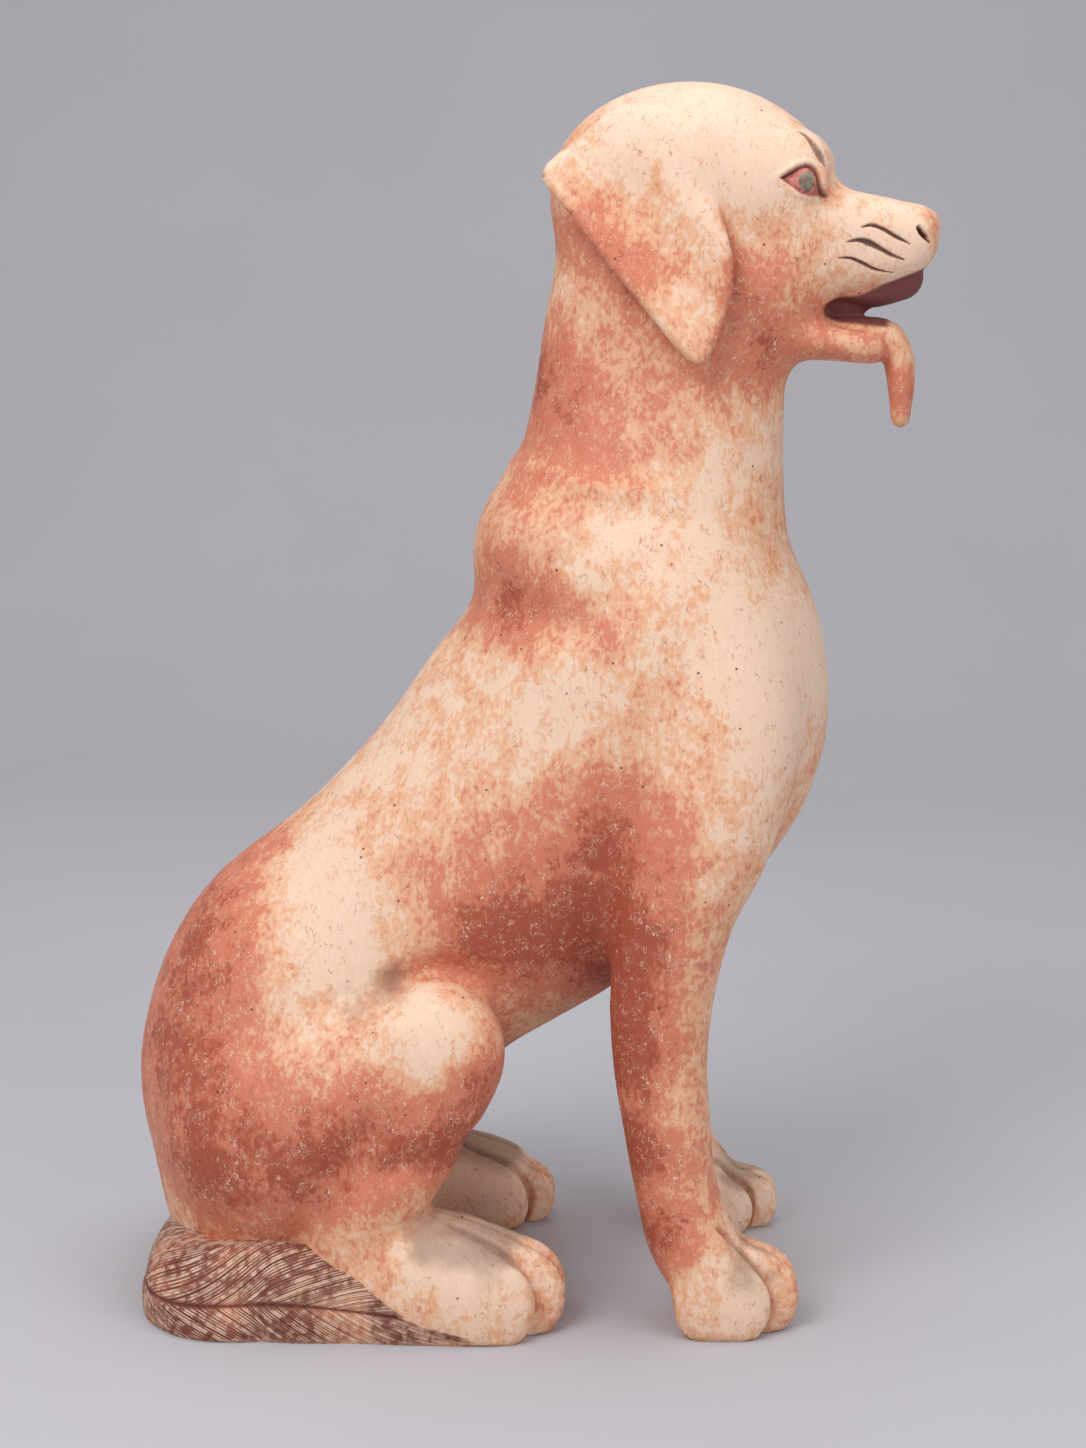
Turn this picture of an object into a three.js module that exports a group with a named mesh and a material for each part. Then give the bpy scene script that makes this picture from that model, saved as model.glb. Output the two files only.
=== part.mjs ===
// A seated hound with its tongue out, carved from one block of wood and stained red. Millimetres, +Z
// up. The dog faces +X, its right side is -Y, and the origin is on the floor under its middle. Every
// form is a field that is negative inside the wood. The forms melt into each other, the carved hollows
// are taken out of them, and the surface where the field is zero is then covered with triangles.

import * as THREE from "three";
import { mergeVertices } from "three/addons/utils/BufferGeometryUtils.js";
import { SimplifyModifier } from "three/addons/modifiers/SimplifyModifier.js";

// Driving dimensions
const HEIGHT = 700; // floor to the crown of the head
const HEAD_TURN = 6; // degrees that the head is turned to the dog's right
const NECK_AXIS_X = 70; // the upright line that the head turns about
const HEAD_FOOT = 470; // below this height nothing belongs to the head
const FRONT_LEG_Y = 84; // middle of each front leg, either side of the middle plane
const HIND_LEG_Y = 91; // middle of each hind foot
const EAR_EDGE = 3; // half thickness at the rim of an ear
const EAR_BELLY = 7; // half thickness in the middle of an ear

// How finely the surface is worked
const CELL = 4; // spacing of the lattice that the surface is found on
const BLOCK = 4; // cells on a side of a block, skipped when the surface is far from it
const MARGIN = 12; // room between the dog and the edge of the lattice
const TRIANGLES = 9800; // facets left once flat areas are thinned out
const FAR = 32; // a form further away than this has no say in the surface
const SOFTNESS = 25; // a limb's thickness over the length that its sections are blended along
const SEAT = 0.6; // what ends this close to the floor is set flat on it

const RIGHT = -1;
const LEFT = 1;
const BOTH = [RIGHT, LEFT];

const clamp = THREE.MathUtils.clamp;
const radians = THREE.MathUtils.degToRad;

// Melts two fields together over a width k, and takes one field out of another.
function melt(a, b, k) {
  const share = Math.max(k - Math.abs(a - b), 0) / k;
  return Math.min(a, b) - (share * share * k) / 4;
}

function cutOut(a, b, k) {
  return -melt(-a, b, k);
}

// A figure carved in steps: each joins its form to the wood, or cuts it out, over the width of its blend.
function carved(steps) {
  return (x, y, z) => {
    let wood = Infinity;
    for (const { form, blend, cut } of steps) wood = (cut ? cutOut : melt)(wood, form(x, y, z), blend);
    return wood;
  };
}

// A rounded lump: middle, half sizes along its own axes, and its pitch in degrees, nose up, in the
// side view.
function lump([cx, cy, cz], [rx, ry, rz], pitch = 0) {
  const c = Math.cos(radians(pitch));
  const s = Math.sin(radians(pitch));
  return (x, y, z) => {
    const dx = x - cx;
    const dz = z - cz;
    const u = (dx * c + dz * s) / rx;
    const v = (y - cy) / ry;
    const w = (dz * c - dx * s) / rz;
    const near = Math.hypot(u, v, w);
    const steep = Math.hypot(u / rx, v / ry, w / rz);
    return near < 1e-6 ? -Math.min(rx, ry, rz) : (near * (near - 1)) / steep;
  };
}

// A limb: rounded sections along a curved spine. Each station is [x, y, z, half depth, half width],
// where the depth lies in the plane of the spine and the width lies along the axis that is given. A
// power of 2 makes the sections oval, and a higher one makes them boxier.
function limb(stations, { steps = 4, power = 2, across = new THREE.Vector3(0, 1, 0) } = {}) {
  const count = (stations.length - 1) * steps;
  const places = stations.map(([x, y, z]) => new THREE.Vector3(x, y, z));
  const sizes = stations.map(([, , , deep, wide]) => new THREE.Vector3(deep, wide, 0));
  const spine = new THREE.CatmullRomCurve3(places, false, "centripetal");
  const girth = new THREE.CatmullRomCurve3(sizes);
  const at = Array.from({ length: count + 1 }, (_, i) => spine.getPoint(i / count));
  const size = Array.from({ length: count + 1 }, (_, i) => girth.getPoint(i / count));
  const thick = Math.max(...sizes.flatMap(({ x, y }) => [x, y]));
  const room = new THREE.Box3().setFromPoints(at).expandByScalar(thick);
  const soft = thick / SOFTNESS;
  const bones = at.slice(1).map((end, i) => new THREE.Line3(at[i], end));
  const point = new THREE.Vector3();
  const offsets = bones.map(() => new THREE.Vector3());
  const along = new Float64Array(count);
  const away = new Float64Array(count);

  // How far the point lies from one section, counted along the slope of the section's own shape.
  function fromSection(i) {
    const deep = size[i].x + (size[i + 1].x - size[i].x) * along[i];
    const wide = size[i].y + (size[i + 1].y - size[i].y) * along[i];
    const sideways = Math.abs(offsets[i].dot(across));
    const v = sideways / wide;
    const u = Math.sqrt(Math.max(0, away[i] ** 2 - sideways ** 2)) / deep;
    const near = (u ** power + v ** power) ** (1 / power);
    if (near < 1e-3) return -Math.min(deep, wide);
    const steep = Math.hypot(u ** (power - 1) / deep, v ** (power - 1) / wide) * near ** (1 - power);
    return (near - 1) / steep;
  }

  return (x, y, z) => {
    const outside = room.distanceToPoint(point.set(x, y, z));
    if (outside > FAR) return outside;
    let nearest = Infinity;
    for (let i = 0; i < count; i++) {
      along[i] = bones[i].closestPointToPointParameter(point, true);
      offsets[i].lerpVectors(at[i], at[i + 1], along[i]).sub(point);
      away[i] = offsets[i].length();
      nearest = Math.min(nearest, away[i]);
    }
    let sum = 0;
    let weights = 0;
    for (let i = 0; i < count; i++) {
      if (away[i] - nearest > 5 * soft) continue;
      const weight = Math.exp((nearest - away[i]) / soft);
      sum += weight * fromSection(i);
      weights += weight;
    }
    return sum / weights;
  };
}

// The trunk, from the rump up the sloping back to the chest and the column of the neck.
const trunk = limb([
  [-152, 0, 36, 70, 82],
  [-149, 0, 72, 86, 93],
  [-145, 0, 120, 99, 99],
  [-126, 0, 170, 101, 98],
  [-92, 0, 204, 94, 93],
  [-6, 0, 276, 108, 98],
  [47, 0, 341, 120, 102],
  [58, 0, 394, 107, 101],
  [57, 0, 440, 88, 90],
  [62, 0, 480, 78, 74],
  [66, 0, 520, 73, 65],
  [70, 0, 562, 71, 60],
  [76, 0, 607, 65, 57],
]);

// The hump of the withers over the back, and the low ring where the neck comes out of the shoulders.
const withers = lump([5, 0, 449], [44, 68, 34], 32);
const neckRing = lump([55, 0, 477], [73, 75.5, 13], -6);

// A front leg, from the shoulder blade down to the paw. The left one stands a little further back.
function frontLeg(side) {
  const y = side * FRONT_LEG_Y;
  const back = side === LEFT ? 6 : 0;
  return limb([
    [66, 0.62 * y, 410, 48, 36],
    [86, 0.8 * y, 345, 56, 40],
    [86, 0.94 * y, 290, 47, 38],
    [75, y, 244, 36, 34],
    [70, y, 200, 30.5, 29],
    [69 - 0.5 * back, y, 160, 27.5, 26],
    [73 - back, y, 122, 25.5, 25],
    [79 - back, y, 82, 24, 25],
    [89 - back, y, 50 - back, 26, 27],
    [106 - back, y, 23, 23, 28],
  ]);
}

// A haunch: the thigh from the hip to the knee, the shank back down to the heel, and the foot on the
// floor. The left foot is flatter than the right one.
function thigh(side) {
  return limb([
    [-146, side * 56, 112, 74, 54],
    [-112, side * 70, 124, 72, 49],
    [-82, side * 82, 146, 58, 40],
    [-64, side * 90, 164, 46, 31],
  ]);
}

function shank(side) {
  return limb([
    [-60, side * 92, 158, 38, 29],
    [-70, side * 92, 124, 34, 29],
    [-90, side * 90, 84, 31, 28],
    [-104, side * 84, 46, 30, 26],
  ]);
}

function hindFoot(side) {
  const y = side * HIND_LEG_Y;
  const high = side === LEFT ? 0.7 : 1;
  return limb([
    [-106, 0.88 * y, 18, 44 * high, 28],
    [-76, 0.97 * y, 24, 50 * high, 31],
    [-50, y, 24, 44 * high, 34],
    [-34, y, 22, 38 * high, 33],
  ]);
}

// Four toes side by side, from the back of the paw at x to the middle of the rounded tips, the outer
// toes shorter.
function toes({ x, y, reach, height, pitch }) {
  return [-1.5, -0.5, 0.5, 1.5].map((place) => {
    const tip = reach - 8 * place * place;
    const out = pitch * place;
    return limb([
      [x, y + 0.8 * out, 0.7 * height, 0.4 * height, 0.58 * pitch],
      [x + 0.55 * tip, y + 0.95 * out, 0.54 * height, 0.48 * height, 0.62 * pitch],
      [x + tip, y + out, 0.4 * height, 0.55 * height, 0.62 * pitch],
    ]);
  });
}

const paws = [
  ...toes({ x: 96, y: RIGHT * FRONT_LEG_Y, reach: 26, height: 54, pitch: 14 }),
  ...toes({ x: 92, y: LEFT * FRONT_LEG_Y, reach: 34, height: 38, pitch: 14 }),
  ...toes({ x: -50, y: RIGHT * HIND_LEG_Y, reach: 37, height: 57, pitch: 16 }),
  ...toes({ x: -56, y: LEFT * HIND_LEG_Y, reach: 42, height: 37, pitch: 16 }),
];

// The soft folds that the carver cut into each side: down the shoulder, under the withers, over the
// knee, and two down the shank. Each runs along a route in the side view and fades out at both ends.
const folds = [
  { width: 17, depth: 6, route: [[92, 425], [73, 367], [57, 322], [46, 282], [38, 240], [36, 190]] },
  { width: 12, depth: 5, route: [[-52, 440], [-22, 418], [12, 405], [34, 416], [70, 450]] },
  { width: 10, depth: 8, route: [[-116, 146], [-96, 181], [-76, 202], [-54, 211], [-32, 205], [-10, 186]] },
  { width: 9, depth: 5, route: [[-86, 142], [-100, 116], [-120, 90], [-140, 60]] },
  { width: 8, depth: 5, route: [[-26, 122], [-52, 110], [-80, 102], [-118, 84]] },
].map(({ width, depth, route }) => {
  const corners = route.map(([x, z]) => new THREE.Vector3(x, z, 0));
  const path = new THREE.CatmullRomCurve3(corners, false, "centripetal").getPoints(12);
  const sides = path.slice(1).map((end, i) => new THREE.Line3(path[i], end));
  return { width, depth, sides, room: new THREE.Box3().setFromPoints(path).expandByScalar(3 * width) };
});

// How deep the folds are at a place. They belong to the outer sides and fade out towards the middle plane.
function folded(x, y, z) {
  const outward = clamp((Math.abs(y) - 40) / 30, 0, 1);
  if (outward === 0) return 0;
  const point = new THREE.Vector3(x, z, 0);
  const foot = new THREE.Vector3();
  let deep = 0;
  for (const { width, depth, sides, room } of folds) {
    if (!room.containsPoint(point)) continue;
    let nearest = Infinity;
    let reached = 0;
    sides.forEach((side, i) => {
      const part = side.closestPointToPointParameter(point, true);
      const away = foot.lerpVectors(side.start, side.end, part).distanceTo(point);
      if (away >= nearest) return;
      nearest = away;
      reached = (i + part) / sides.length;
    });
    deep += depth * Math.sin(Math.PI * reached) * Math.exp(-((nearest / width) ** 2));
  }
  return deep * outward;
}

// The tail, thick as a rope, round the right haunch on the floor, with its tip against the right hind foot.
const tailRoute = [
  [-190, 50, 10, 24, 32],
  [-204, 6, 8, 27, 34],
  [-205, -46, 9, 28, 36],
  [-193, -87, 10, 29, 38],
  [-148, -94, 13, 27, 38],
  [-102, -97, 11, 24, 33],
  [-66, -103, 9, 19, 23],
  [-38, -110, 6, 13, 12],
];
const tail = limb(tailRoute, { steps: 5, across: new THREE.Vector3(0, 0, 1) });

// The head, facing +X before it is turned: skull, forehead, brows, cheeks, and the blunt muzzle with
// its lips.
const skull = lump([82, 0, HEIGHT - 60], [78, 62, 60]);
const forehead = lump([120, 0, 636], [44, 46, 40], -18);
const brows = BOTH.map((side) => lump([146, side * 24, 658], [17, 14, 14], -35));
const cheeks = lump([112, 0, 590], [54, 54, 44], 10);
const muzzleSections = [
  [132, 0, 611, 36, 42],
  [160, 0, 612, 31, 35],
  [184, 0, 612, 27.5, 29],
  [201, 0, 613, 21, 25],
];
const muzzle = limb(muzzleSections, { power: 2.7 });
const nose = lump([211, 0, 622], [12, 16, 9.5], -8);
const jawSections = [
  [112, 0, 568, 30, 44],
  [146, 0, 561, 15, 34],
  [170, 0, 557, 12, 29],
  [186, 0, 555, 11, 24],
];
const lowerJaw = limb(jawSections, { power: 2.5 });

// The open mouth, the palate that shows in it, and the tongue that hangs over the front of the jaw.
const mouth = limb([
  [163, 0, 575, 4.5, 60],
  [180, 0, 575, 8, 60],
  [198, 0, 578, 13, 60],
  [232, 0, 583, 19, 60],
]);
const palate = limb([
  [160, 5, 590, 8, 24],
  [182, 5, 588, 13, 20],
  [200, 4, 593, 14, 15],
]);
const tongue = limb([
  [150, 0, 562, 6, 18],
  [178, 0, 564, 7, 17],
  [195, 0, 560, 8.5, 15],
  [201, 0, 548, 9, 13],
  [203, 0, 530, 7.5, 11],
  [203, 0, 514, 5.5, 7],
]);

// The eyes, each an almond that stands in a shallow socket.
const eyeSockets = BOTH.map((side) => lump([148, side * 46, 646], [14, 7.5, 8.5], -14));
const eyes = BOTH.map((side) => lump([146, side * 34, 646], [13, 9, 10], -14));

// An ear: a leaf that hangs from the side of the skull and stands off the neck at its tip. Its outline
// in the side view runs from the rear corner down the rear edge to the tip, then up the front edge
// into the skull.
const earOutline = [
  [8, 650],
  [24, 627],
  [60, 583],
  [96, 547],
  [107, 568],
  [113, 598],
  [103, 634],
  [88, 670],
  [50, 684],
  [30, 670],
];
const earTop = 680;
const earLength = 130;
const earRim = new THREE.CatmullRomCurve3(
  earOutline.map(([x, z]) => new THREE.Vector3(x, z, 0)),
  true,
  "centripetal",
).getPoints(40);

// How far a place in the side view lies outside the ear's outline, negative inside it.
function outsideEar(x, z) {
  const point = new THREE.Vector3(x, z, 0);
  const side = new THREE.Line3();
  const foot = new THREE.Vector3();
  let nearest = Infinity;
  let inside = false;
  for (let i = 1; i < earRim.length; i++) {
    const a = earRim[i - 1];
    const b = earRim[i];
    side.set(a, b).closestPointToPoint(point, true, foot);
    nearest = Math.min(nearest, foot.distanceTo(point));
    const crosses = b.y > z !== a.y > z;
    if (crosses && x < a.x + ((z - a.y) / (b.y - a.y)) * (b.x - a.x)) inside = !inside;
  }
  return inside ? -nearest : nearest;
}

// The leaf swings out from the skull as it hangs, and its rear corner flares a little more.
function ear(side) {
  const swing = { middle: 64, reach: 24 };
  return (x, y, z) => {
    const off = Math.abs(side * y - swing.middle) - swing.reach;
    if (off > FAR) return off;
    const drop = clamp((earTop - z) / earLength, 0, 1);
    const back = clamp((80 - x) / 70, 0, 1);
    const middle = 60 + 12 * drop - 11 * (1 - drop) ** 2 + 7 * back ** 2;
    const rim = outsideEar(x, z);
    const belly = (EAR_BELLY - EAR_EDGE) * clamp(-rim / 22, 0, 1) ** 0.6;
    const u = rim + EAR_EDGE;
    const v = Math.abs(side * y - middle) - belly;
    return Math.min(Math.max(u, v), 0) + Math.hypot(Math.max(u, 0), Math.max(v, 0)) - EAR_EDGE;
  };
}

const head = carved([
  { form: skull, blend: 1 },
  { form: forehead, blend: 14 },
  ...brows.map((form) => ({ form, blend: 10 })),
  { form: cheeks, blend: 16 },
  { form: muzzle, blend: 12 },
  { form: nose, blend: 5 },
  { form: lowerJaw, blend: 12 },
  { form: mouth, blend: 3, cut: true },
  { form: palate, blend: 2 },
  { form: tongue, blend: 3 },
  ...eyeSockets.map((form) => ({ form, blend: 4, cut: true })),
  ...eyes.map((form) => ({ form, blend: 1 })),
  ...BOTH.map((side) => ({ form: ear(side), blend: 4 })),
]);

// The head on its neck: a place is turned back into the head's own frame and looked up there.
function turnedHead(x, y, z) {
  if (z < HEAD_FOOT) return FAR;
  const c = Math.cos(radians(HEAD_TURN));
  const s = Math.sin(radians(HEAD_TURN));
  const dx = x - NECK_AXIS_X;
  return head(NECK_AXIS_X + dx * c - y * s, dx * s + y * c, z);
}

const body = carved([
  { form: trunk, blend: 1 },
  { form: withers, blend: 24 },
  { form: neckRing, blend: 7 },
  ...BOTH.map((side) => ({ form: frontLeg(side), blend: 22 })),
  ...BOTH.map((side) => ({ form: thigh(side), blend: 9 })),
  ...BOTH.map((side) => ({ form: shank(side), blend: 6 })),
]);

const wholeDog = carved([
  { form: (x, y, z) => body(x, y, z) + folded(x, y, z), blend: 1 },
  ...BOTH.map((side) => ({ form: hindFoot(side), blend: 5 })),
  ...paws.map((form) => ({ form, blend: 4 })),
  { form: tail, blend: 7 },
  { form: turnedHead, blend: 18 },
]);

// The dog as it stands, sawn off flat at the floor.
function dogField(x, y, z) {
  return Math.max(wholeDog(x, y, z), -z);
}

// Measures the field at every corner of the lattice, and skips the blocks that the surface doesn't
// come near.
function measure(field, low, counts, cell) {
  const [nx, ny, nz] = counts;
  const values = new Float32Array(nx * ny * nz);
  const nearEnough = 1.6 * BLOCK * cell;
  const place = (i, j, k) => [low[0] + i * cell, low[1] + j * cell, low[2] + k * cell];
  for (let k = 0; k < nz; k += BLOCK)
    for (let j = 0; j < ny; j += BLOCK)
      for (let i = 0; i < nx; i += BLOCK) {
        const middle = field(...place(i + BLOCK / 2, j + BLOCK / 2, k + BLOCK / 2));
        const skipped = Math.abs(middle) > nearEnough;
        for (let c = k; c < Math.min(k + BLOCK, nz); c++)
          for (let b = j; b < Math.min(j + BLOCK, ny); b++)
            for (let a = i; a < Math.min(i + BLOCK, nx); a++)
              values[(c * ny + b) * nx + a] = skipped ? middle : field(...place(a, b, c));
      }
  return values;
}

// Slides a point along the slope of the field until it lies on the surface, by at most half a cell
// each time.
function settle(field, [x, y, z], cell) {
  const step = cell / 16;
  for (let times = 0; times < 2; times++) {
    const here = field(x, y, z);
    const slope = new THREE.Vector3(
      (field(x + step, y, z) - here) / step,
      (field(x, y + step, z) - here) / step,
      (field(x, y, z + step) - here) / step,
    );
    const steep = slope.length();
    if (steep < 0.3) break;
    const slide = clamp(here / steep, -cell / 2, cell / 2);
    x -= (slide * slope.x) / steep;
    y -= (slide * slope.y) / steep;
    z -= (slide * slope.z) / steep;
  }
  return [x, y, z < SEAT ? 0 : z];
}

// Covers the surface with quads: one corner for each cell that it crosses, and one quad round each
// lattice edge that it cuts.
function skin(field, low, high, cell) {
  const counts = low.map((from, n) => Math.ceil((high[n] - from) / cell) + 1);
  const [nx, ny, nz] = counts;
  const at = (i, j, k) => (k * ny + j) * nx + i;
  const values = measure(field, low, counts, cell);
  const corner = new Int32Array(values.length).fill(-1);
  const points = [];
  for (let k = 0; k < nz - 1; k++)
    for (let j = 0; j < ny - 1; j++)
      for (let i = 0; i < nx - 1; i++) {
        const sum = [0, 0, 0];
        let crossings = 0;
        for (let a = 0; a < 8; a++)
          for (const step of [1, 2, 4]) {
            if (a & step) continue;
            const [from, to] = [a, a | step].map((c) => [c & 1, (c >> 1) & 1, c >> 2]);
            const here = values[at(i + from[0], j + from[1], k + from[2])];
            const there = values[at(i + to[0], j + to[1], k + to[2])];
            if (here < 0 === there < 0) continue;
            const part = here / (here - there);
            for (let n = 0; n < 3; n++) sum[n] += from[n] + part * (to[n] - from[n]);
            crossings++;
          }
        if (!crossings) continue;
        const place = [i, j, k].map((m, n) => low[n] + (m + sum[n] / crossings) * cell);
        corner[at(i, j, k)] = points.length / 3;
        points.push(...settle(field, place, cell));
      }
  const faces = [];
  const steps = [[1, 0, 0], [0, 1, 0], [0, 0, 1]];
  for (let k = 1; k < nz - 1; k++)
    for (let j = 1; j < ny - 1; j++)
      for (let i = 1; i < nx - 1; i++)
        steps.forEach((step, n) => {
          const inside = values[at(i, j, k)] < 0;
          if (inside === values[at(i + step[0], j + step[1], k + step[2])] < 0) return;
          const [u, v] = [steps[(n + 1) % 3], steps[(n + 2) % 3]];
          const quad = [[0, 0], [1, 0], [1, 1], [0, 1]].map(([p, q]) => {
            const [di, dj, dk] = [0, 1, 2].map((m) => p * u[m] + q * v[m]);
            return corner[at(i - di, j - dj, k - dk)];
          });
          if (!inside) quad.reverse();
          faces.push(quad[0], quad[1], quad[2], quad[0], quad[2], quad[3]);
        });
  const geometry = new THREE.BufferGeometry();
  geometry.setAttribute("position", new THREE.Float32BufferAttribute(points, 3));
  geometry.setIndex(faces);
  geometry.computeVertexNormals();
  return geometry;
}

// The fine surface, thinned where it is flat, and moved so that the origin is on the floor under its
// middle.
const length = { rump: -242, nose: 224 };
const halfWidth = 128;
const fine = skin(
  dogField,
  [length.rump - MARGIN, -halfWidth - MARGIN, -MARGIN + CELL / 2],
  [length.nose + MARGIN, halfWidth + MARGIN, HEIGHT + MARGIN],
  CELL,
);
const surplus = fine.attributes.position.count - TRIANGLES / 2;
const thinned = await new SimplifyModifier().modify(fine, surplus);
thinned.deleteAttribute("normal");
const figure = mergeVertices(thinned, 1e-3);
figure.computeBoundingBox();
const { min, max } = figure.boundingBox;
figure.translate(-(min.x + max.x) / 2, -(min.y + max.y) / 2, -min.z);
figure.computeVertexNormals();

const stainedWood = new THREE.MeshStandardMaterial({ color: 0xc9866a, roughness: 0.75, metalness: 0 });
const dog = new THREE.Mesh(figure, stainedWood);
dog.name = "dog";

const root = new THREE.Group();
root.add(dog);
export default root;
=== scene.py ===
import bpy
import numpy as np
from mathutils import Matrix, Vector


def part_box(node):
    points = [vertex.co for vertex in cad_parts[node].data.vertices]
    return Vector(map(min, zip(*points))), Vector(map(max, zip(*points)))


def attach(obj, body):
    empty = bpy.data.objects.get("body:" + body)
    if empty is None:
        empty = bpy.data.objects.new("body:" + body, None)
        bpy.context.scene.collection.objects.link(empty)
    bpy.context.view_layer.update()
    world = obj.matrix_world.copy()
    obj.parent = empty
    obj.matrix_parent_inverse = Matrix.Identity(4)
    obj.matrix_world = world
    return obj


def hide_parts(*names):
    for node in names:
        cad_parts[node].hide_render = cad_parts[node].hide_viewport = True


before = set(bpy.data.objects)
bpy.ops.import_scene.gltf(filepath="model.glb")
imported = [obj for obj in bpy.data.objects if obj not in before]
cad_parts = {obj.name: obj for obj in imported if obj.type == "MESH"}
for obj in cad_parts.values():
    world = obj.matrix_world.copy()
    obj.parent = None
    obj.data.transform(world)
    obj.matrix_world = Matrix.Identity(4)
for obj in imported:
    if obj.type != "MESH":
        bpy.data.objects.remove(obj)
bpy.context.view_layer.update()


# The block. The dog is carved from one upright block of pale, close-grained wood, and the trunk, the column of
# the neck and the hump of the withers are roughed out first. Forms are fields in millimetres, negative inside
# the wood, that melt into each other; +X is the way the dog faces and its right side is -Y.

HEIGHT = 700
FAR = 32  # a form further away than this has no say in the surface
SOFTNESS = 25
RIGHT, LEFT = -1, 1
BOTH = (RIGHT, LEFT)


def melt(a, b, width):
    share = np.maximum(width - np.abs(a - b), 0) / width
    return np.minimum(a, b) - share * share * width / 4


def carved(*steps):
    """A figure made in steps: (form, blend) joins a form to the wood, and (form, blend, "cut") takes it out."""

    def field(p):
        wood = np.full(len(p), 1e3)
        for form, blend, *cut in steps:
            here = form(p)
            width = blend(p) if callable(blend) else blend
            wood = -melt(-wood, here, width) if cut else melt(wood, here, width)
        return wood

    return field


def lump(middle, half, pitch=0.0):
    """A rounded lump with half sizes along its own axes, pitched nose up by so many degrees."""
    c, s = np.cos(np.radians(pitch)), np.sin(np.radians(pitch))
    rx, ry, rz = half

    def form(p):
        d = p - np.array(middle, float)
        u, v, w = (d[:, 0] * c + d[:, 2] * s) / rx, d[:, 1] / ry, (d[:, 2] * c - d[:, 0] * s) / rz
        near = np.sqrt(u * u + v * v + w * w) + 1e-9
        steep = np.sqrt((u / rx) ** 2 + (v / ry) ** 2 + (w / rz) ** 2) + 1e-12
        return near * (near - 1) / steep

    return form


def through(points, count, closed=False):
    """Points along a smooth curve through the given ones."""
    p = np.asarray(points, float)
    ends = (p[-1:], p[:2]) if closed else (2 * p[:1] - p[1:2], 2 * p[-1:] - p[-2:-1])
    ring = np.vstack([ends[0], p, ends[1]])
    spans = len(p) if closed else len(p) - 1
    t = np.linspace(0, spans, count + 1)
    i = np.minimum(t.astype(int), spans - 1)
    w = (t - i)[:, None]
    a, b, c, d = (ring[i + m] for m in range(4))
    before, here, after = (np.linalg.norm(v - u, axis=1)[:, None] ** 0.5 for u, v in ((a, b), (b, c), (c, d)))
    here = np.where(here < 1e-4, 1, here)
    before, after = np.where(before < 1e-4, here, before), np.where(after < 1e-4, here, after)
    start = ((b - a) / before - (c - a) / (before + here) + (c - b) / here) * here
    end = ((c - b) / here - (d - b) / (here + after) + (d - c) / after) * here
    return b + start * w + (3 * (c - b) - 2 * start - end) * w**2 + (2 * (b - c) + start + end) * w**3


def limb(stations, steps=4, power=2.0, across=(0, 1, 0)):
    """Rounded sections along a curved spine. Each station is x, y, z, half depth in the plane of the spine, and
    half width along the axis across. A higher power makes the sections boxier."""
    s = np.array(stations, float)
    line, size = (through(part, steps * (len(s) - 1)) for part in (s[:, :3], s[:, 3:]))
    thick = s[:, 3:].max()
    soft = thick / SOFTNESS
    low, high = line.min(0) - thick, line.max(0) + thick
    start, run = line[:-1, None], (line[1:] - line[:-1])[:, None]
    across = np.array(across, float)

    def sections(q):
        t = np.clip(((q - start) * run).sum(2) / (run * run).sum(2), 0, 1)
        off = q - start - t[..., None] * run
        away = np.sqrt((off * off).sum(2))
        excess = away - away.min(0)
        which, point = np.nonzero(excess <= 5 * soft)
        t, off, away, excess = (v[which, point] for v in (t, off, away, excess))
        deep, wide = (size[which] + (size[which + 1] - size[which]) * t[:, None]).T
        sideways = np.abs(off @ across)
        v, u = sideways / wide, np.sqrt(np.maximum(0, away**2 - sideways**2)) / deep
        near = np.maximum((u**power + v**power) ** (1 / power), 1e-3)
        steep = np.hypot(u ** (power - 1) / deep, v ** (power - 1) / wide) * near ** (1 - power)
        form = np.where(near <= 1e-3, -np.minimum(deep, wide), (near - 1) / np.maximum(steep, 1e-9))
        weight = np.exp(-excess / soft)
        return np.bincount(point, weight * form, len(q)) / np.bincount(point, weight, len(q))

    def form(p):
        value = np.linalg.norm(np.maximum(np.maximum(low - p, p - high), 0), axis=1)
        near = np.flatnonzero(value <= FAR)
        for some in np.array_split(near, len(near) // 8000 + 1):
            if len(some):
                value[some] = sections(p[some])
        return value

    return form


trunk = limb([
    (-152, 0, 36, 70, 82), (-149, 0, 72, 86, 93), (-145, 0, 120, 99, 99), (-126, 0, 170, 101, 98),
    (-92, 0, 204, 94, 93), (-6, 0, 276, 108, 98), (47, 0, 341, 120, 102), (58, 0, 394, 107, 101),
    (57, 0, 440, 88, 90), (62, 0, 480, 78, 74), (66, 0, 520, 73, 65), (70, 0, 562, 71, 60), (76, 0, 607, 65, 57),
])
withers = lump((5, 0, 449), (44, 68, 34), 32)
neck_ring = lump((55, 0, 477), (73, 75.5, 13), -6)


# The legs and haunches. The front legs stand straight under the shoulders, and the hind legs are folded, with a
# heavy thigh, a shank that runs back to the heel, and a long foot flat on the floor. All are cut from the block.

FRONT_LEG_Y = 84
HIND_LEG_Y = 91


def front_leg(side):
    y = side * FRONT_LEG_Y
    back = 6 if side == LEFT else 0
    return limb([
        (66, 0.62 * y, 410, 48, 36), (86, 0.8 * y, 345, 56, 40), (86, 0.94 * y, 290, 47, 38),
        (75, y, 244, 36, 34), (70, y, 200, 30.5, 29), (69 - 0.5 * back, y, 160, 27.5, 26),
        (73 - back, y, 122, 25.5, 25), (79 - back, y, 82, 24, 25), (89 - back, y, 50 - back, 26, 27),
        (106 - back, y, 23, 23, 28),
    ])


def thigh(side):
    return limb([
        (-146, side * 56, 112, 74, 54), (-112, side * 70, 124, 72, 49),
        (-82, side * 82, 146, 58, 40), (-64, side * 90, 164, 46, 31),
    ])


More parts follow.
